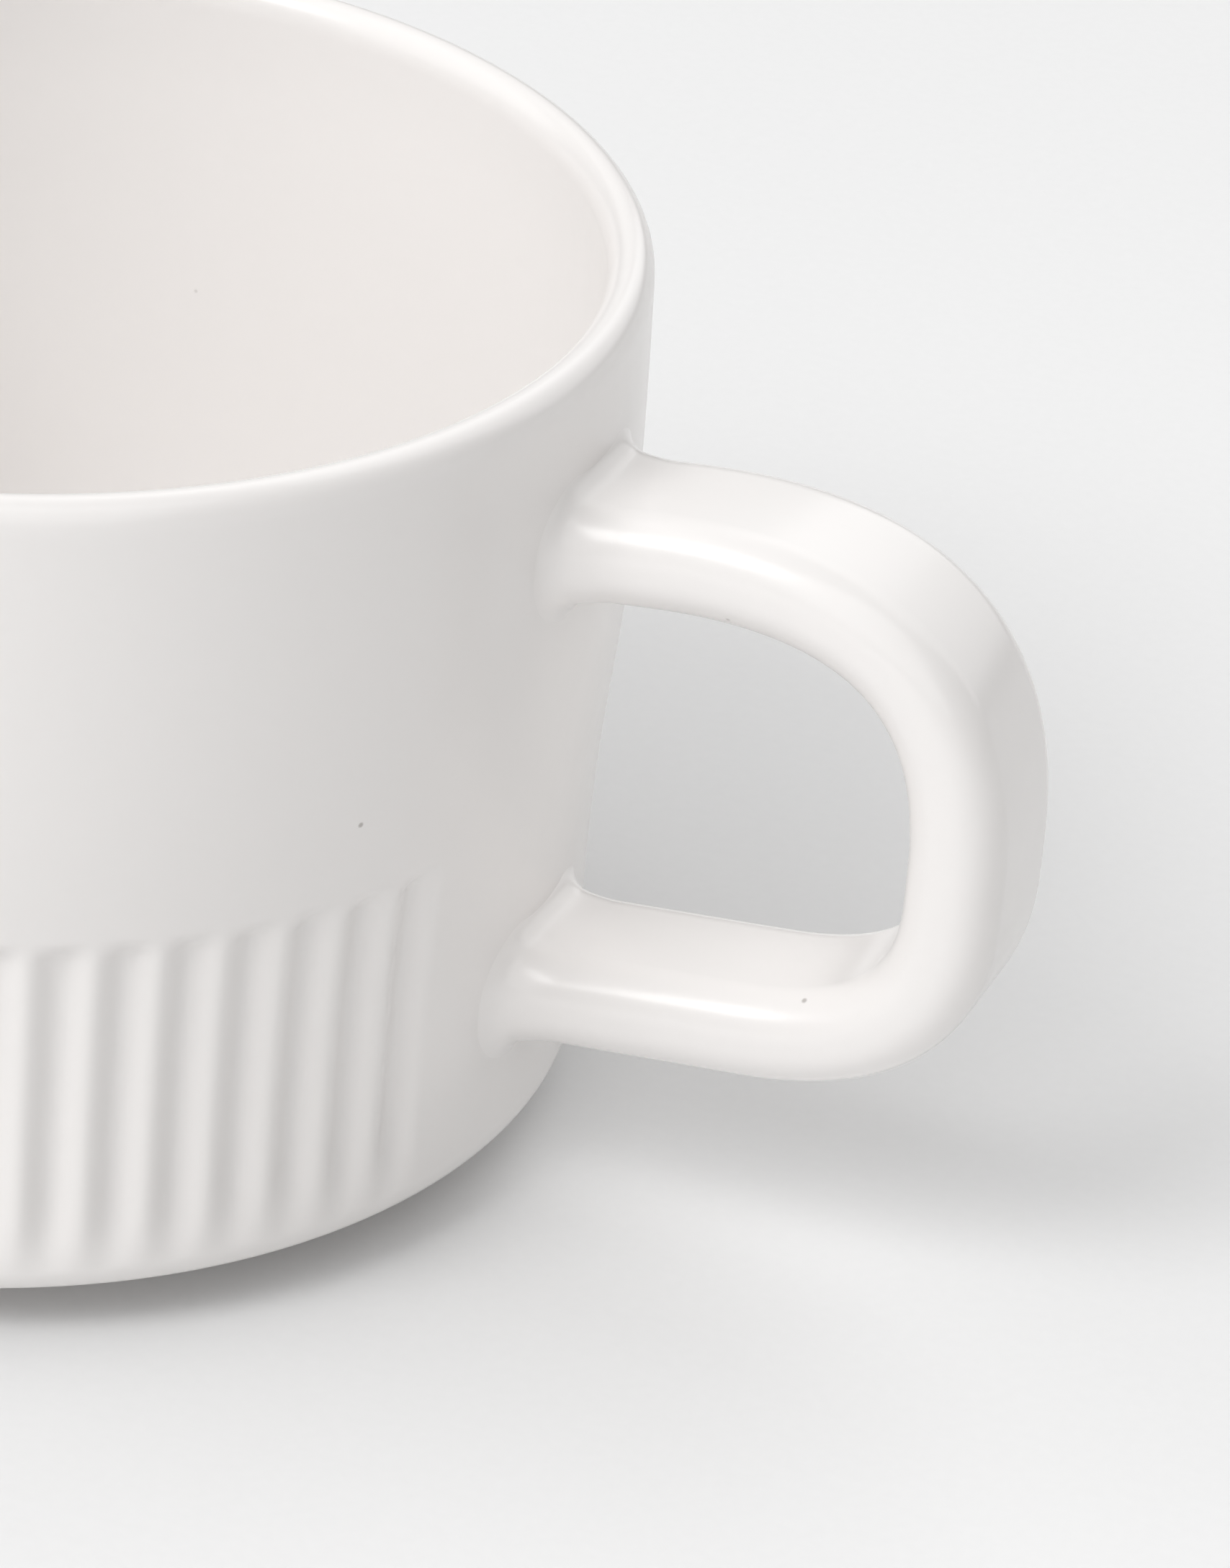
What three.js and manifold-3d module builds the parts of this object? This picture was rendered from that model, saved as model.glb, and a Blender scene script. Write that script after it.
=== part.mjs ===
// Espresso cup: a cast bowl, fluted below the waist, with a cast strap handle stuck on with slip.
// Millimetres, +Z up. The cup stands on its foot ring at z = 0 and the handle points along +X.
// Heights are measured from the table.

import * as THREE from 'three';
import { mergeVertices } from 'three/addons/utils/BufferGeometryUtils.js';
import Module from 'manifold-3d';

// Bowl
const rimRadius = 32;
const cupHeight = 45.8;
const bandRadius = 31;
const bandPinch = 0.25;
const bandPinchHeight = 28.1;
const bellySwell = 0.63;
const bellyHeight = 19.9;
const lipThickness = 2.3;
const lipRise = 1.6;
const wallThickness = 3;
const floorThickness = 4.4;
const innerCornerRadius = 10;

// Foot ring, set well in from the wall so that the bowl's rounded bottom edge floats over the table
const footHeight = 2.4;
const footRadius = 24.6;
const footTaper = 0.8;
const footWidth = 3.2;
const footRecess = 2.2;
const edgeRoundInset = 1;
const edgeRoundHeight = 2.5;

// Flutes: upright grooves of even depth that start square at the waist and run out above the foot
const fluteCount = 56;
const fluteTopHeight = 22;
const fluteFootHeight = 3.7;
const fluteRunOut = 3.2;
const fluteDepth = 0.55;
const fluteWidth = 2.4;
const plainPanelAngle = 45.4;

// Handle: a flat strap with rounded edges, two straight branches and an upright grip
const handleWidth = 9.5;
const handleThickness = 4.9;
const handleEdge = 2.2;
const gripDistance = 20.9;
const upperRootDrop = 9.2;
const lowerRootHeight = 11.9;
const upperBranchSlope = 0.138;
const lowerBranchSlope = 0.116;
const upperBendRun = 16.7;
const upperBendDrop = 14.8;
const lowerBendRun = 9.9;
const lowerBendRise = 8.4;

// Slip joints: the beads that hold the handle's ends to the wall, flared and then coved
const beadLength = 2.4;
const beadFlare = 1;
const coveRadius = 1.4;
const coveLip = 0.35;
const jointClearance = 0.3;

// Smoothness of the round forms
const bowlSegments = 72;
const curveSteps = 6;
const lipSteps = 8;
const fluteSides = 8;
const fluteSteps = 5;
const edgeSteps = 4;
const handleSteps = 40;

const wasm = await Module();
wasm.setup();

// A closed geometry as a solid that can be cut and joined.
function solidFrom(geometry) {
  const bare = geometry.clone();
  bare.deleteAttribute('normal');
  bare.deleteAttribute('uv');
  const welded = mergeVertices(bare, 1e-4);
  const corners = welded.index.array;
  const triangles = [];
  for (let i = 0; i < corners.length; i += 3) {
    const [a, b, c] = [corners[i], corners[i + 1], corners[i + 2]];
    if (a !== b && b !== c && c !== a) {
      triangles.push(a, b, c);
    }
  }
  const vertProperties = new Float32Array(welded.attributes.position.array);
  const triVerts = new Uint32Array(triangles);
  return new wasm.Manifold(new wasm.Mesh({ numProp: 3, vertProperties, triVerts }));
}

// A cut or joined solid as a geometry to show.
function geometryFrom(solid) {
  const { vertProperties, triVerts } = solid.getMesh();
  const geometry = new THREE.BufferGeometry();
  geometry.setAttribute('position', new THREE.BufferAttribute(vertProperties, 3));
  geometry.setIndex(new THREE.BufferAttribute(triVerts, 1));
  geometry.computeVertexNormals();
  return geometry;
}

// A profile of radius and height, turned about the upright axis.
function turned(profile) {
  const points = profile.filter((p, i) => i === 0 || p.distanceTo(profile[i - 1]) > 1e-6);
  return new THREE.LatheGeometry(points, bowlSegments).rotateX(Math.PI / 2);
}

// The outer wall is one soft curve: upright round the fluted band, then out to the belly and the lip.
const lipBase = cupHeight - lipRise;
const edgeTop = footHeight + edgeRoundHeight;
const outerWall = new THREE.CubicBezierCurve(
  new THREE.Vector2(bandRadius, edgeTop),
  new THREE.Vector2(bandRadius - bandPinch, bandPinchHeight),
  new THREE.Vector2(rimRadius + bellySwell, bellyHeight),
  new THREE.Vector2(rimRadius, lipBase),
);

// The bottom edge of the wall is rounded into the flat underside.
const undersideRadius = bandRadius - edgeRoundInset;
const edgeRound = new THREE.EllipseCurve(
  undersideRadius, edgeTop, edgeRoundInset, edgeRoundHeight, -Math.PI / 2, 0,
);

// Outside radius at a height: on the rounded edge, or found by halving along the wall's curve.
function wallRadiusAt(height) {
  if (height < edgeTop) {
    const drop = (edgeTop - height) / edgeRoundHeight;
    return undersideRadius + edgeRoundInset * Math.sqrt(1 - drop ** 2);
  }
  let low = 0;
  let high = 1;
  for (let i = 0; i < 40; i += 1) {
    const middle = (low + high) / 2;
    if (outerWall.getPoint(middle).y < height) {
      low = middle;
    } else {
      high = middle;
    }
  }
  return outerWall.getPoint(low).x;
}

// The lip is half an oval, from the outer wall over to the inner wall.
const lip = new THREE.EllipseCurve(
  rimRadius - lipThickness / 2, lipBase, lipThickness / 2, lipRise, 0, Math.PI,
);

// The inner wall thickens downwards and turns into the floor with a round corner.
const floorHeight = footRecess + floorThickness;
const cornerHeight = floorHeight + innerCornerRadius;
const innerWall = new THREE.QuadraticBezierCurve(
  new THREE.Vector2(rimRadius - lipThickness, lipBase),
  new THREE.Vector2(rimRadius - lipThickness, (lipBase + cornerHeight) / 2),
  new THREE.Vector2(wallRadiusAt(cornerHeight) - wallThickness, cornerHeight),
);
const cornerTop = innerWall.getPoint(1);
const wallSlope = innerWall.getTangent(1);
const cornerTip = cornerTop.clone().addScaledVector(wallSlope, -innerCornerRadius / wallSlope.y);
const innerCorner = new THREE.QuadraticBezierCurve(
  cornerTop,
  cornerTip,
  new THREE.Vector2(cornerTip.x - innerCornerRadius, floorHeight),
);

const footOuter = footRadius - footTaper;
const footInner = footOuter - footWidth;
const bowl = solidFrom(turned([
  new THREE.Vector2(0, footRecess),
  new THREE.Vector2(footInner - footTaper, footRecess),
  new THREE.Vector2(footInner, 0),
  new THREE.Vector2(footOuter, 0),
  new THREE.Vector2(footRadius, footHeight),
  ...edgeRound.getPoints(edgeSteps),
  ...outerWall.getPoints(curveSteps),
  ...lip.getPoints(lipSteps),
  ...innerWall.getPoints(curveSteps),
  ...innerCorner.getPoints(curveSteps),
  new THREE.Vector2(0, floorHeight),
]));

// Each flute is the mark of a round cutter that follows the wall and lifts out of it at the foot.
const cutterRadius = (fluteWidth ** 2 / 4 + fluteDepth ** 2) / (2 * fluteDepth);
const runOutHeight = fluteFootHeight + fluteRunOut;
const cutterLine = [];
for (let i = 0; i <= fluteSteps; i += 1) {
  const z = THREE.MathUtils.lerp(fluteTopHeight, runOutHeight, i / fluteSteps);
  cutterLine.push(new THREE.Vector3(wallRadiusAt(z) - fluteDepth + cutterRadius, 0, z));
}
cutterLine.push(new THREE.Vector3(wallRadiusAt(fluteFootHeight) + cutterRadius, 0, fluteFootHeight));
const cutter = solidFrom(new THREE.ExtrudeGeometry(
  new THREE.Shape().absarc(0, 0, cutterRadius, 0, 2 * Math.PI),
  {
    curveSegments: fluteSides / 2,
    steps: fluteSteps + 1,
    extrudePath: new THREE.CatmullRomCurve3(cutterLine),
  },
));

// The flutes go round the bowl and leave a plain panel on either side of the handle.
const fluteStep = (360 - plainPanelAngle) / (fluteCount - 1);
const cutters = [];
for (let i = 0; i < fluteCount; i += 1) {
  cutters.push(cutter.rotate([0, 0, plainPanelAngle / 2 + i * fluteStep]));
}
const flutedBowl = bowl.subtract(wasm.Manifold.union(cutters));

// Outline of the strap's section, or of a larger one that keeps its distance all round.
function strapOutline(growth) {
  const radius = handleEdge + growth;
  const halfWidth = handleWidth / 2 - handleEdge;
  const halfThickness = handleThickness / 2 - handleEdge;
  const centres = [
    [halfWidth, halfThickness],
    [-halfWidth, halfThickness],
    [-halfWidth, -halfThickness],
    [halfWidth, -halfThickness],
  ];
  return centres.flatMap(([x, y], i) => {
    const start = i * Math.PI / 2;
    return new THREE.EllipseCurve(x, y, radius, radius, start, start + Math.PI / 2).getPoints(edgeSteps);
  });
}

// The strap's centre line: both branches rise a little outwards and bend into the upright grip.
const gripX = rimRadius + gripDistance;
const rootX = rimRadius - wallThickness;
const upperBranch = { rootHeight: cupHeight - upperRootDrop, slope: upperBranchSlope };
const lowerBranch = { rootHeight: lowerRootHeight, slope: lowerBranchSlope };
function branchPoint(branch, x) {
  return new THREE.Vector3(x, 0, branch.rootHeight + branch.slope * (x - rimRadius));
}
const upperCorner = branchPoint(upperBranch, gripX);
const lowerCorner = branchPoint(lowerBranch, gripX);
const upperBendStart = branchPoint(upperBranch, gripX - upperBendRun);
const upperBendEnd = new THREE.Vector3(gripX, 0, upperCorner.z - upperBendDrop);
const lowerBendStart = new THREE.Vector3(gripX, 0, lowerCorner.z + lowerBendRise);
const lowerBendEnd = branchPoint(lowerBranch, gripX - lowerBendRun);
const strapLine = new THREE.CurvePath();
strapLine.add(new THREE.LineCurve3(branchPoint(upperBranch, rootX), upperBendStart));
strapLine.add(new THREE.QuadraticBezierCurve3(upperBendStart, upperCorner, upperBendEnd));
strapLine.add(new THREE.LineCurve3(upperBendEnd, lowerBendStart));
strapLine.add(new THREE.QuadraticBezierCurve3(lowerBendStart, lowerCorner, lowerBendEnd));
strapLine.add(new THREE.LineCurve3(lowerBendEnd, branchPoint(lowerBranch, rootX)));
const strap = solidFrom(new THREE.ExtrudeGeometry(
  new THREE.Shape(strapOutline(0)),
  { steps: handleSteps, extrudePath: strapLine },
));

// The strap's ends are hollowed to the curve of the wall, where the slip joints take over.
const jointFace = jointClearance + coveLip + beadLength;
const wallCore = turned([
  new THREE.Vector2(0, 0),
  new THREE.Vector2(bandRadius, 0),
  ...outerWall.getPoints(curveSteps),
  new THREE.Vector2(rimRadius, cupHeight),
  new THREE.Vector2(0, cupHeight),
]);
const handleSolid = strap.subtract(solidFrom(wallCore.translate(jointFace + jointClearance, 0, 0)));

// A slip joint is a pad between the wall and the strap's end. From the strap it flares out more and
// more, and a hollow cove all round takes it down to the wall.
// Its rings run from the middle of the wall face, over the cove, to the middle of the strap's end.
function slipJoint(branch) {
  const rings = [];
  function addRing(scale, growth, standoff) {
    const x = wallRadiusAt(branch.rootHeight) + standoff;
    const middle = branchPoint(branch, x).z;
    rings.push(strapOutline(growth).map((p) => {
      const z = middle + p.y * scale;
      const y = p.x * scale;
      return new THREE.Vector3(Math.sqrt(wallRadiusAt(z) ** 2 - y ** 2) + standoff, y, z);
    }));
  }
  function addSideRing(rise, coveGrowth) {
    const flare = beadFlare * (1 - rise / beadLength) ** 2;
    addRing(1, flare + coveGrowth, jointClearance + coveLip + rise);
  }
  const footGrowth = beadFlare + coveRadius;
  addRing(0, footGrowth, jointClearance);
  addRing(0.5, footGrowth, jointClearance);
  addRing(1, footGrowth, jointClearance);
  for (let i = 0; i <= curveSteps; i += 1) {
    const turn = i / curveSteps * Math.PI / 2;
    addSideRing(coveRadius * (1 - Math.cos(turn)), coveRadius * (1 - Math.sin(turn)));
  }
  addSideRing((coveRadius + beadLength) / 2, 0);
  addSideRing(beadLength, 0);
  addRing(0.5, 0, jointFace);
  addRing(0, 0, jointFace);
  return solidFrom(ringSkin(rings));
}

// A skin of triangles over rings that have the same number of points.
function ringSkin(rings) {
  const sides = rings[0].length;
  const index = [];
  for (let i = 0; i < rings.length - 1; i += 1) {
    for (let j = 0; j < sides; j += 1) {
      const next = (j + 1) % sides;
      const [a, b] = [i * sides + j, i * sides + next];
      index.push(a, b, a + sides, b, b + sides, a + sides);
    }
  }
  const geometry = new THREE.BufferGeometry().setFromPoints(rings.flat());
  geometry.setIndex(index);
  return geometry;
}

// Glazed pieces share one warm white. The slip under the glaze is the same colour.
function piece(name, solid) {
  const glaze = new THREE.MeshStandardMaterial({ color: 0xeae6e3, roughness: 0.22, metalness: 0 });
  const mesh = new THREE.Mesh(geometryFrom(solid), glaze);
  mesh.name = name;
  return mesh;
}

const cup = new THREE.Group();
cup.add(piece('cup_body', flutedBowl));
cup.add(piece('handle', handleSolid));
cup.add(piece('upper_slip_joint', slipJoint(upperBranch)));
cup.add(piece('lower_slip_joint', slipJoint(lowerBranch)));

// The whole cup, handle included, is centred over the origin.
cup.position.x = -(gripDistance + handleThickness / 2) / 2;

export default cup;
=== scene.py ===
"""Espresso cup on a pale floor: a glazed bowl with a fluted band, and a strap handle stuck on with slip."""

import math
from bisect import bisect

import bmesh
import bpy
from mathutils import Euler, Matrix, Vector
from mathutils.geometry import interpolate_bezier


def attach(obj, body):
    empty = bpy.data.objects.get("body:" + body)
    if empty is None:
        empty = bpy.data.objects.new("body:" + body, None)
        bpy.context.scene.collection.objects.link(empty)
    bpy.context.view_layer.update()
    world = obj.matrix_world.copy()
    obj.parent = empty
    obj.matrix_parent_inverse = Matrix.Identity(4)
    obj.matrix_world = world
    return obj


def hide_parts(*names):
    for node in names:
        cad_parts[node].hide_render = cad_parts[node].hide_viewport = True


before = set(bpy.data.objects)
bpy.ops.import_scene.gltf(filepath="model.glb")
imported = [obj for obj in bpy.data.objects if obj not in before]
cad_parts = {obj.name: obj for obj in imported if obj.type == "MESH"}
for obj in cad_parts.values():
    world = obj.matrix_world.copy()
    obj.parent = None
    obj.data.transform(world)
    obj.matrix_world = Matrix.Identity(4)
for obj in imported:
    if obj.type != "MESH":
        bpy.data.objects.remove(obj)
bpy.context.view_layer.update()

# The cup is drawn in millimetres about the bowl's axis, with heights from the table.
MM = 0.001
WELD_DISTANCE = 1e-4

# The pinch and the pull draw the wall's curve in above the band and out at the belly.
RIM_RADIUS = 32.0
CUP_HEIGHT = 45.8
LIP_THICKNESS = 2.3
LIP_RISE = 1.6
BAND_RADIUS = 31.0
BAND_PINCH = Vector((30.75, 0, 28.1))
BELLY_PULL = Vector((32.63, 0, 19.9))
WALL_THICKNESS = 3.0
FLOOR_HEIGHT = 6.6
FLOOR_CORNER = 10.0
EDGE_ROUND = Vector((0.7, 0, 1.3))

FOOT_HEIGHT = 2.75
FOOT_RADIUS = 24.6
FOOT_TAPER = 0.8
FOOT_WIDTH = 3.2
FOOT_EDGE = 0.6
FOOT_ROOT_ROUND = 0.9
FOOT_RECESS = 2.2
RECESS_ROUND = 0.8

FLUTE_COUNT = 56
FLUTE_TOP = 22.0
FLUTE_TOP_EASE = 0.7
FLUTE_TOP_MARGIN = 0.1
FLUTE_FOOT = 3.6
FLUTE_RUN_OUT = 3.4
FLUTE_DEPTH = 0.6

# Steps of the bowl's mesh from one flute's middle to the next, over the plain panel by the handle, and
# all round. The mesh is copied from one of its equal sectors.
FLUTE_STEPS = 12
PANEL_STEPS = 92
BOWL_STEPS = (FLUTE_COUNT - 1) * FLUTE_STEPS + PANEL_STEPS
BOWL_SECTORS = 8

HANDLE_WIDTH = 9.5
HANDLE_THICKNESS = 4.9
HANDLE_EDGE = 2.2
GRIP_X = 52.9
UPPER_ROOT = Vector((RIM_RADIUS, 0, 36.6))
UPPER_RUN = Vector((1, 0, 0.138)).normalized()
LOWER_ROOT = Vector((RIM_RADIUS, 0, 11.9))
LOWER_RUN = Vector((1, 0, 0.116)).normalized()
BEAD_LENGTH = 3.05
BEAD_FLARE = 0.55
COVE_RADIUS = 1.0
SUNK_EDGE = 0.03

# How far from its corner each bend starts or ends, out along the branch and up or down the grip.
UPPER_BEND = (16.7, 14.8)
LOWER_BEND = (9.9, 8.4)

# The bowl's axis stands left of the origin, which is under the middle of cup and handle.
BOWL_AXIS = Vector((-(GRIP_X - RIM_RADIUS + HANDLE_THICKNESS / 2) / 2, 0, 0))

# Colours of the surfaces. The pinholes' bands are shares of a cell, and the wipe line is in metres.
GLAZE_SHADE = (0.846, 0.823, 0.808, 1)
GLAZE_LIGHT = (0.860, 0.837, 0.822, 1)
CLAY_SHADE = (0.68, 0.64, 0.60, 1)
CLAY_LIGHT = (0.76, 0.72, 0.68, 1)
PINHOLE_TONE = (0.16, 0.13, 0.11, 1)
PINHOLE_STRENGTH = 0.5
PINHOLE_CELLS = 230
PINHOLE_RARE = (0.64, 0.642)
PINHOLE_EDGE = (0.015, 0.045)
WIPE_LINE = (0.00003, 0.00012)
PAPER_SHADE = (0.80, 0.80, 0.80, 1)
PAPER_LIGHT = (0.823, 0.823, 0.823, 1)

# What the lamps face, in metres, and the strength of the light from all round.
LAMP_TARGET = Vector((0, 0, 0.02))
ROOM_LIGHT = 0.03


def in_scene(name, data):
    """Puts a mesh, lamp or camera into the scene as an object."""
    thing = bpy.data.objects.new(name, data)
    bpy.context.scene.collection.objects.link(thing)
    return thing


def as_object(name, bm, material):
    """Makes an object with one material out of a bmesh."""
    mesh = bpy.data.meshes.new(name)
    bm.to_mesh(mesh)
    bm.free()
    mesh.materials.append(material)
    return in_scene(name, mesh)


def finished(name, bm, material):
    """Makes a smooth piece in the frame's metres from a mesh in millimetres about the bowl's axis."""
    bmesh.ops.remove_doubles(bm, verts=bm.verts, dist=WELD_DISTANCE)
    bmesh.ops.recalc_face_normals(bm, faces=bm.faces)
    bmesh.ops.translate(bm, verts=bm.verts, vec=BOWL_AXIS)
    bmesh.ops.scale(bm, verts=bm.verts, vec=(MM, MM, MM))
    for face in bm.faces:
        face.smooth = True
    return as_object(name, bm, material)


def on_cup(piece, node):
    """The piece is part of the one rigid cup and is shown in place of its CAD node."""
    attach(piece, "root")
    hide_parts(node)


def even(start, stop, steps):
    """Numbers from start to stop at even steps, both ends included."""
    return [start + (stop - start) * i / steps for i in range(steps + 1)]


def ramp(value, start, stop):
    """0 at start, 1 at stop, easing in and out."""
    t = min(max((value - start) / (stop - start), 0), 1)
    return t * t * (3 - 2 * t)


def bend(start, tip, end, steps):
    """Points of a curve that leaves start towards tip and reaches end coming from tip."""
    return interpolate_bezier(start, start.lerp(tip, 2 / 3), end.lerp(tip, 2 / 3), end, steps + 1)


def rounded(start, tip, end):
    """Points after start on a small round from start to end about a corner at tip."""
    return bend(start, tip, end, steps=5)[1:]


def oval(centre, radius, height, start, stop, steps):
    """Points of an upright oval arc, from the angle start to the angle stop in degrees."""
    turns = [math.radians(angle) for angle in even(start, stop, steps)]
    return [centre + Vector((radius * math.cos(t), 0, height * math.sin(t))) for t in turns]


# Bowl

LIP_BASE = CUP_HEIGHT - LIP_RISE
UNDERSIDE_RADIUS = BAND_RADIUS - EDGE_ROUND.x
WALL_FOOT = Vector((BAND_RADIUS, 0, FOOT_HEIGHT + EDGE_ROUND.z))
WALL_TOP = Vector((RIM_RADIUS, 0, LIP_BASE))
WALL_POINTS = 400
OUTER_WALL = interpolate_bezier(WALL_FOOT, BAND_PINCH, BELLY_PULL, WALL_TOP, WALL_POINTS)
WALL_HEIGHTS = [point.z for point in OUTER_WALL]


def wall_radius(z):
    """Outside radius of the bare wall at a height above its rounded bottom edge."""
    above = min(max(bisect(WALL_HEIGHTS, z), 1), len(OUTER_WALL) - 1)
    low, high = OUTER_WALL[above - 1], OUTER_WALL[above]
    return low.x + (high.x - low.x) * (z - low.z) / (high.z - low.z)


def foot_profile():
    """Points from the middle of the underside, over the foot ring, round the bottom edge to the wall."""
    outer = FOOT_RADIUS - FOOT_TAPER
    inner = outer - FOOT_WIDTH
    recess = Vector((inner - FOOT_TAPER, 0, FOOT_RECESS))
    inner_corner = Vector((inner, 0, 0))
    outer_corner = Vector((outer, 0, 0))
    root = Vector((FOOT_RADIUS, 0, FOOT_HEIGHT))
    points = [Vector((r, 0, FOOT_RECESS)) for r in even(0, recess.x - RECESS_ROUND, steps=2)]
    points += rounded(points[-1], recess, recess.lerp(inner_corner, 0.5))
    points += rounded(points[-1], inner_corner, Vector((inner + FOOT_EDGE, 0, 0)))
    points.append(Vector((outer - FOOT_EDGE, 0, 0)))
    points += rounded(points[-1], outer_corner, outer_corner.lerp(root, 0.5))
    points += rounded(points[-1], root, root + Vector((FOOT_ROOT_ROUND, 0, 0)))
    edge_centre = Vector((UNDERSIDE_RADIUS, 0, WALL_FOOT.z))
    return points + oval(edge_centre, EDGE_ROUND.x, EDGE_ROUND.z, -90, 0, steps=12)


def outside_profile():
    """Points up the outer wall, closer where the flutes end, and over the lip to its inner side."""
    ease = FLUTE_TOP_EASE + FLUTE_TOP_MARGIN
    heights = even(WALL_FOOT.z, FLUTE_TOP - ease - FLUTE_TOP_MARGIN, steps=14)[1:]
    heights += even(FLUTE_TOP - ease, FLUTE_TOP + ease, steps=12)
    heights += even(FLUTE_TOP + ease + FLUTE_TOP_MARGIN, LIP_BASE, steps=20)[1:]
    lip_centre = Vector((RIM_RADIUS - LIP_THICKNESS / 2, 0, LIP_BASE))
    lip = oval(lip_centre, LIP_THICKNESS / 2, LIP_RISE, 0, 180, steps=16)
    return [Vector((wall_radius(z), 0, z)) for z in heights] + lip[1:]


def inside_profile(lip_end):
    """Points from the lip down the inner wall, round the large corner, to the middle of the floor."""
    corner_z = FLOOR_HEIGHT + FLOOR_CORNER
    corner_top = Vector((wall_radius(corner_z) - WALL_THICKNESS, 0, corner_z))
    shoulder = Vector((RIM_RADIUS - LIP_THICKNESS, 0, (LIP_BASE + corner_top.z) / 2))
    down = (corner_top - shoulder).normalized()
    corner_tip = corner_top + down * (FLOOR_CORNER / -down.z)
    points = bend(lip_end, shoulder, corner_top, steps=14)[1:]
    points += bend(corner_top, corner_tip, corner_tip - Vector((FLOOR_CORNER, 0, 0)), steps=12)[1:]
    points += [Vector((r, 0, FLOOR_HEIGHT)) for r in even(points[-1].x, 0, steps=3)[1:]]
    return points


def flute_depth(angle, z):
    """How deep the wall lies in a flute, at an angle from the handle: 0 on ridges, panel and plain wall."""
    place = (abs(angle) / math.tau * BOWL_STEPS - PANEL_STEPS / 2) / FLUTE_STEPS
    off_centre = min(abs(place - max(round(place), 0)), 0.5)
    groove = 0.5 + 0.5 * math.cos(math.tau * off_centre)
    top = ramp(z, FLUTE_TOP + FLUTE_TOP_EASE, FLUTE_TOP - FLUTE_TOP_EASE)
    foot = ramp(z, FLUTE_FOOT, FLUTE_FOOT + FLUTE_RUN_OUT)
    return FLUTE_DEPTH * groove * (top * foot)


def make_bowl(glaze):
    """Spins the half section into one sector, copies that round, and presses the flutes into the wall."""
    outside = outside_profile()
    bm = bmesh.new()
    corners = [bm.verts.new(point) for point in foot_profile() + outside + inside_profile(outside[-1])]
    profile = corners + [bm.edges.new(pair) for pair in zip(corners, corners[1:])]
    middle = {"cent": (0, 0, 0), "axis": (0, 0, 1)}
    turn = math.tau / BOWL_SECTORS
    copies = BOWL_SECTORS - 1
    bmesh.ops.spin(bm, geom=profile, angle=turn, steps=BOWL_STEPS // BOWL_SECTORS, **middle)
    sector = bm.verts[:] + bm.edges[:] + bm.faces[:]
    bmesh.ops.spin(bm, geom=sector, angle=turn * copies, steps=copies, use_duplicate=True, **middle)
    for vert in bm.verts:
        radius = vert.co.xy.length
        if vert.co.z < FLUTE_TOP + FLUTE_TOP_EASE and radius > UNDERSIDE_RADIUS:
            depth = flute_depth(math.atan2(vert.co.y, vert.co.x), vert.co.z)
            vert.co.xy *= 1 - depth / radius
    return finished("glazed_bowl", bm, glaze)


# Handle and its joints


def strap_ring(bm):
    """The strap's rounded outline as a ring of edges, whose points keep their places in the section."""
    through = bm.verts.layers.float.new("through")
    across = bm.verts.layers.float.new("across")
    bmesh.ops.create_grid(bm, x_segments=1, y_segments=1, size=0.5)
    bmesh.ops.scale(bm, verts=bm.verts, vec=(HANDLE_THICKNESS, HANDLE_WIDTH, 1))
    bmesh.ops.bevel(
        bm, geom=bm.verts[:], affect="VERTICES", offset=HANDLE_EDGE, segments=12, profile=0.5, material=-1
    )
    bmesh.ops.delete(bm, geom=bm.faces[:], context="FACES_ONLY")
    for vert in bm.verts:
        vert[through] = vert.co.x
        vert[across] = vert.co.y
    return bm.verts[:], bm.edges[:], through, across


def next_ring(bm, edges):
    """Extrudes a ring of edges and returns the new ring's points and edges."""
    made = bmesh.ops.extrude_edge_only(bm, edges=edges)["geom"]
    verts = [part for part in made if isinstance(part, bmesh.types.BMVert)]
    ring = [part for part in made if isinstance(part, bmesh.types.BMEdge) and part.is_boundary]
    return verts, ring


def cap(bm, ring):
    """Closes a ring with a face whose rim stays a crisp edge, so the sides shade on past it."""
    bmesh.ops.contextual_create(bm, geom=ring)
    for edge in ring:
        edge.smooth = False


# Rounds in which a point of a sloping branch settles, since the wall's radius changes with its height.
SETTLING_ROUNDS = 6


def off_wall(root, run, through, across, standoff):
    """The point of a branch, at a place in its section, that stands off the wall by standoff."""
    up = Vector((-run.z, 0, run.x))
    point = root + up * through + Vector((0, across, 0))
    for _ in range(SETTLING_ROUNDS):
        wall = math.sqrt(wall_radius(point.z) ** 2 - across ** 2)
        point += run * ((wall + standoff - point.x) / run.x)
    return point


def branch_point(root, run, x):
    """The point on a branch's middle line that is x from the bowl's axis."""
    return root + run * ((x - root.x) / run.x)


def strap_line():
    """The strap's middle line between its two straight ends, and the direction at each point."""
    upper_tip = branch_point(UPPER_ROOT, UPPER_RUN, GRIP_X)
    lower_tip = branch_point(LOWER_ROOT, LOWER_RUN, GRIP_X)
    upper_start = branch_point(UPPER_ROOT, UPPER_RUN, GRIP_X - UPPER_BEND[0])
    upper_end = upper_tip - Vector((0, 0, UPPER_BEND[1]))
    lower_start = lower_tip + Vector((0, 0, LOWER_BEND[1]))
    lower_end = branch_point(LOWER_ROOT, LOWER_RUN, GRIP_X - LOWER_BEND[0])
    line = bend(upper_start, upper_tip, upper_end, steps=40)
    line += [upper_end.lerp(lower_start, share) for share in (0.25, 0.5, 0.75)]
    line += bend(lower_start, lower_tip, lower_end, steps=32)
    ways = [(after - before).normalized() for before, after in zip(line, line[2:])]
    return list(zip(line, [UPPER_RUN] + ways + [-LOWER_RUN]))


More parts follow.
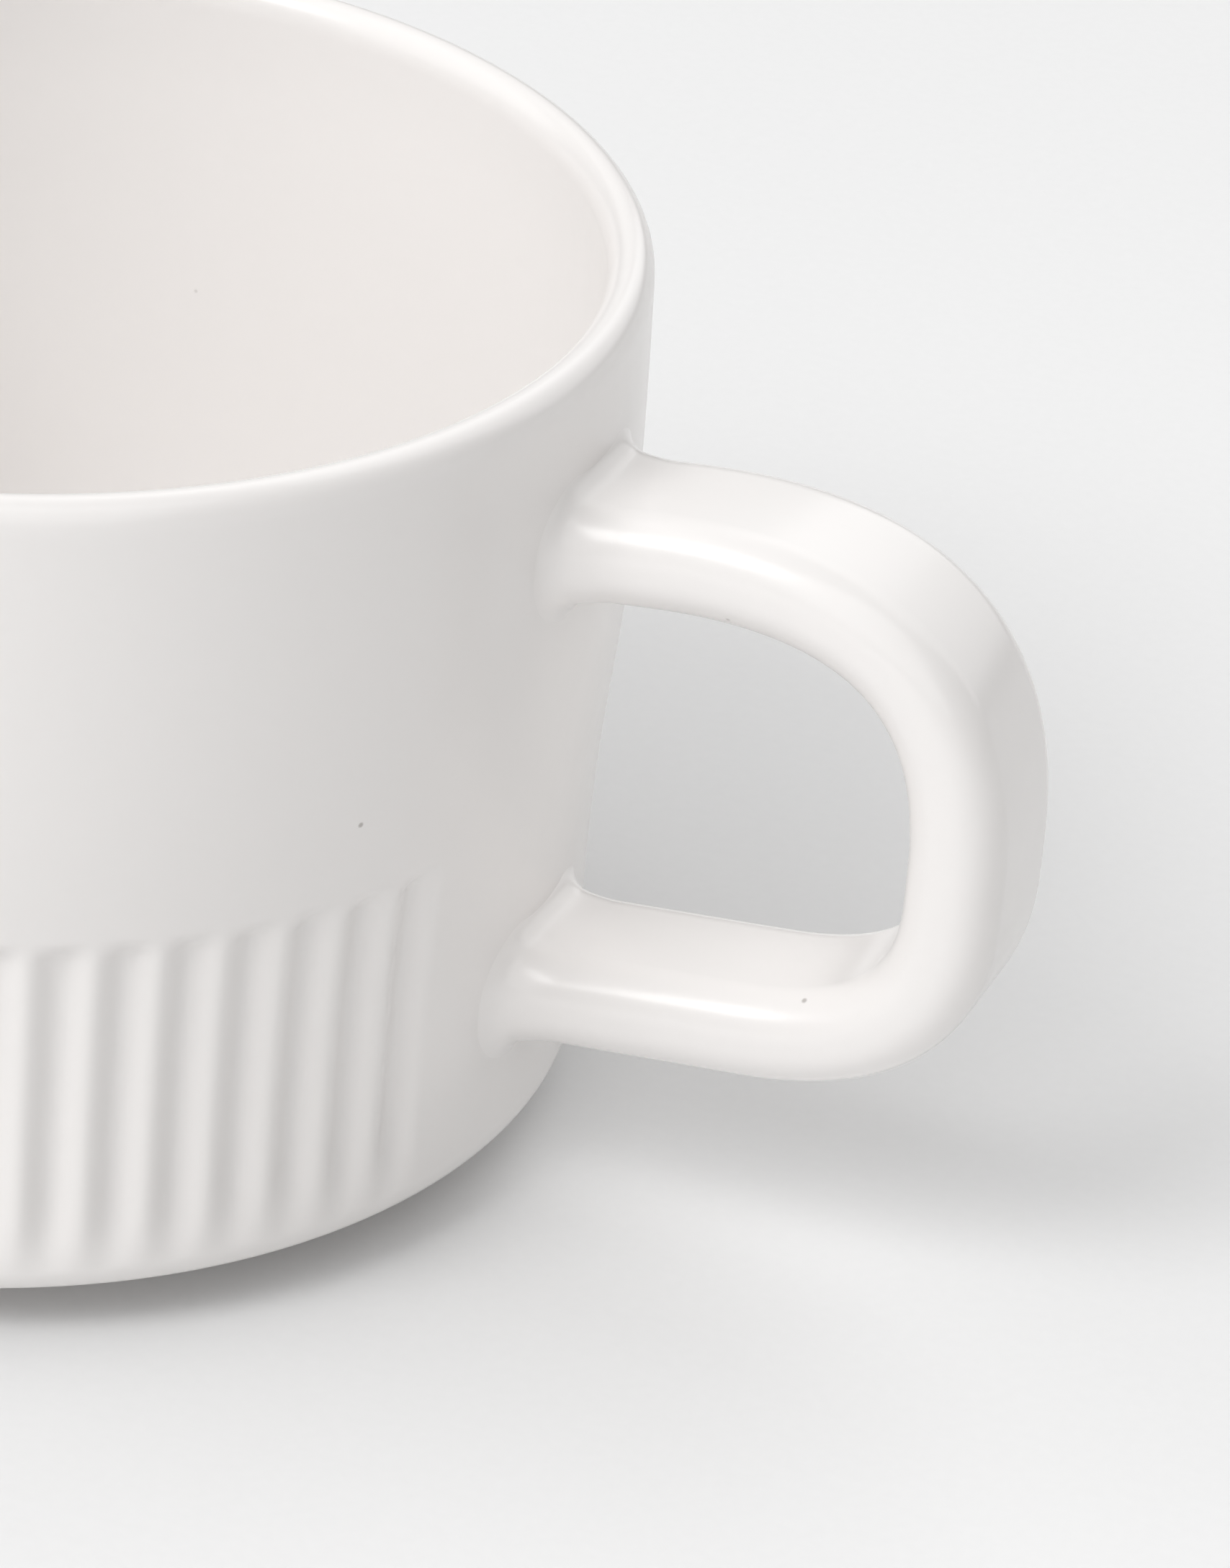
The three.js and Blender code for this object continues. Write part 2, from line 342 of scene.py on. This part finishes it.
def make_handle(glaze):
    """Draws the strap's outline from the upper bead along the middle line to the lower bead."""
    bm = bmesh.new()
    verts, ring, through, across = strap_ring(bm)
    for vert in verts:
        vert.co = off_wall(UPPER_ROOT, UPPER_RUN, vert[through], vert[across], BEAD_LENGTH)
    first = ring
    for point, way in strap_line():
        verts, ring = next_ring(bm, ring)
        up = Vector((-way.z, 0, way.x))
        for vert in verts:
            vert.co = point + up * vert[through] + Vector((0, vert[across], 0))
    verts, ring = next_ring(bm, ring)
    for vert in verts:
        vert.co = off_wall(LOWER_ROOT, LOWER_RUN, -vert[through], vert[across], BEAD_LENGTH)
    cap(bm, first)
    cap(bm, ring)
    return finished("strap_handle", bm, glaze)


def make_slip_joint(name, root, run, glaze):
    """The wiped bead of slip at a branch's end: a flare off the strap, then a cove against the wall."""
    bm = bmesh.new()
    verts, ring, through, across = strap_ring(bm)
    core = Vector((HANDLE_THICKNESS / 2 - HANDLE_EDGE, HANDLE_WIDTH / 2 - HANDLE_EDGE))
    first = ring
    standoffs = even(BEAD_LENGTH, COVE_RADIUS, steps=8)
    standoffs += [COVE_RADIUS * (1 - math.sin(turn)) for turn in even(0, math.pi / 2, steps=14)[1:]]
    for standoff in standoffs:
        if standoff < BEAD_LENGTH:
            verts, ring = next_ring(bm, ring)
        hollow = 1 - min(standoff / COVE_RADIUS, 1)
        flare = BEAD_FLARE * (1 - standoff / BEAD_LENGTH) ** 2
        growth = flare + COVE_RADIUS * (1 - math.sqrt(1 - hollow ** 2))
        for vert in verts:
            place = Vector((vert[through], vert[across]))
            middle = Vector((max(-core.x, min(core.x, place.x)), max(-core.y, min(core.y, place.y))))
            place = middle + (place - middle).normalized() * (HANDLE_EDGE + growth)
            vert.co = off_wall(root, run, place.x, place.y, standoff - SUNK_EDGE * hollow)
    cap(bm, first)
    cap(bm, ring)
    return finished(name, bm, glaze)


# Glaze


class Value:
    """A shader socket that sums, products and differences can be written with."""

    def __init__(self, shader, socket):
        self.shader = shader
        self.socket = socket

    def _math(self, operation, first, second):
        return self.shader.node("ShaderNodeMath", {"operation": operation}, {0: first, 1: second})

    def __add__(self, other):
        return self._math("ADD", self, other)

    def __sub__(self, other):
        return self._math("SUBTRACT", self, other)

    def __rsub__(self, other):
        return self._math("SUBTRACT", other, self)

    def __mul__(self, other):
        return self._math("MULTIPLY", self, other)

    __radd__ = __add__
    __rmul__ = __mul__


class Shader:
    """A material's nodes, added one at a time from a type, its settings and its inputs."""

    def __init__(self, name):
        self.material = bpy.data.materials.new(name)
        self.material.use_nodes = True
        self.tree = self.material.node_tree
        self.tree.nodes.clear()

    def node(self, kind, settings=None, inputs=None, output=0):
        """Adds a node and returns the value of one output, or nothing where it has none."""
        made = self.tree.nodes.new(kind)
        for name, value in (settings or {}).items():
            setattr(made, name, value)
        for name, value in (inputs or {}).items():
            if isinstance(value, Value):
                self.tree.links.new(value.socket, made.inputs[name])
            else:
                made.inputs[name].default_value = value
        return Value(self, made.outputs[output]) if made.outputs else None

    def noise(self, place, scale, detail, roughness=0.5):
        inputs = {"Vector": place, "Scale": scale, "Detail": detail, "Roughness": roughness}
        return self.node("ShaderNodeTexNoise", {}, inputs)

    def mix(self, factor, first, second):
        """Mixes two colours, which are inputs 6 and 7 of the node and come out at its output 2."""
        inputs = {"Factor": factor, 6: first, 7: second}
        return self.node("ShaderNodeMix", {"data_type": "RGBA"}, inputs, 2)

    def band(self, value, start, stop):
        """0 below start, 1 above stop, smooth between them."""
        inputs = {"Value": value, "From Min": start, "From Max": stop}
        return self.node("ShaderNodeMapRange", {"interpolation_type": "SMOOTHSTEP"}, inputs)

    def finish(self, **inputs):
        """Ends the material in one surface, whose inputs are named with _ in place of a space."""
        names = {name.replace("_", " "): value for name, value in inputs.items()}
        surface = self.node("ShaderNodeBsdfPrincipled", {}, names)
        self.node("ShaderNodeOutputMaterial", {}, {"Surface": surface})
        return self.material


def white_glaze():
    """Warm white satin glaze, cloudy and faintly rippled, with stray pinholes, wiped off under the foot."""
    glaze = Shader("white_glaze")
    place = glaze.node("ShaderNodeTexCoord", output="Object")
    cloud = glaze.noise(place, scale=30, detail=1, roughness=0.4)
    grain = glaze.noise(place, scale=900, detail=2, roughness=0.6)
    ripple = glaze.noise(place, scale=260, detail=2, roughness=0.45)
    cells = {"Vector": place, "Scale": PINHOLE_CELLS, "Randomness": 1}
    spot = glaze.node("ShaderNodeTexVoronoi", {"feature": "F1"}, cells, "Distance")
    lot = glaze.node("ShaderNodeTexVoronoi", {"feature": "F1"}, cells, "Color")
    rare = glaze.band(glaze.node("ShaderNodeSeparateColor", {}, {"Color": lot}), *PINHOLE_RARE)
    pinhole = rare * (1 - glaze.band(spot, *PINHOLE_EDGE))
    height = glaze.node("ShaderNodeSeparateXYZ", {}, {"Vector": place}, "Z")
    wiped = 1 - glaze.band(height, *WIPE_LINE)
    tone = glaze.mix(cloud, GLAZE_SHADE, GLAZE_LIGHT)
    tone = glaze.mix(wiped, tone, glaze.mix(grain, CLAY_SHADE, CLAY_LIGHT))
    tone = glaze.mix(pinhole * PINHOLE_STRENGTH, tone, PINHOLE_TONE)
    rough = 0.2 + 0.05 * cloud + 0.02 * grain + 0.45 * wiped
    relief = ripple + 0.12 * grain - 2.5 * pinhole
    bump = glaze.node("ShaderNodeBump", {}, {"Strength": 0.12, "Distance": 0.00012, "Height": relief})
    return glaze.finish(Base_Color=tone, Roughness=rough, Normal=bump, IOR=1.5)


# Room, lights and camera


def pale_paper():
    """White sheet under the cup, with a faint even tooth."""
    paper = Shader("pale_paper")
    place = paper.node("ShaderNodeTexCoord", output="Object")
    tone = paper.mix(paper.noise(place, scale=1400, detail=2), PAPER_SHADE, PAPER_LIGHT)
    return paper.finish(Base_Color=tone, Roughness=0.7, Specular_IOR_Level=0.2)


def make_floor():
    bm = bmesh.new()
    bmesh.ops.create_circle(bm, cap_ends=True, radius=3, segments=96)
    as_object("paper_floor", bm, pale_paper())


def softbox(name, direction, distance, size, power):
    """A square lamp that faces the cup from a direction."""
    lamp = bpy.data.lights.new(name, "AREA")
    lamp.size = size
    lamp.energy = power
    box = in_scene(name, lamp)
    box.location = LAMP_TARGET + Vector(direction).normalized() * distance
    box.rotation_euler = (LAMP_TARGET - box.location).to_track_quat("-Z", "Y").to_euler()


def light_room():
    softbox("key_softbox", (-0.326, -0.613, 0.719), distance=1.1, size=0.5, power=4.2)
    softbox("front_panel", (0.345, -0.938, 0.8), distance=1.5, size=1.8, power=12.1)
    softbox("left_panel", (-0.923, -0.384, 0.8), distance=1.5, size=1.8, power=12.2)
    softbox("right_panel", (0.578, 1.322, 1.1), distance=1.5, size=1.8, power=12.8)
    softbox("back_panel", (-0.345, 0.938, 0.9), distance=1.5, size=1.8, power=4.4)
    softbox("top_panel", (0, 0, 1), distance=1.5, size=2.0, power=2.8)
    world = bpy.data.worlds.new("white_room")
    world.use_nodes = True
    background = world.node_tree.nodes["Background"]
    background.inputs["Color"].default_value = (1, 1, 1, 1)
    background.inputs["Strength"].default_value = ROOM_LIGHT
    bpy.context.scene.world = world


def place_camera():
    """The camera stands where the rim, the wall and the flutes line up with the photograph's."""
    lens = bpy.data.cameras.new("camera")
    lens.sensor_fit = "VERTICAL"
    lens.sensor_height = 24
    lens.lens = 110.193
    lens.clip_start = 0.01
    camera = in_scene("camera", lens)
    camera.location = (0.127859, -0.286087, 0.196182)
    camera.rotation_euler = Euler([math.radians(a) for a in (60.3036, -4.2321, 22.6132)])
    bpy.context.scene.camera = camera


glaze = white_glaze()
on_cup(make_bowl(glaze), "cup_body")
on_cup(make_handle(glaze), "handle")
on_cup(make_slip_joint("upper_bead", UPPER_ROOT, UPPER_RUN, glaze), "upper_slip_joint")
on_cup(make_slip_joint("lower_bead", LOWER_ROOT, LOWER_RUN, glaze), "lower_slip_joint")
make_floor()
light_room()
place_camera()
bpy.context.scene.view_settings.view_transform = "Standard"
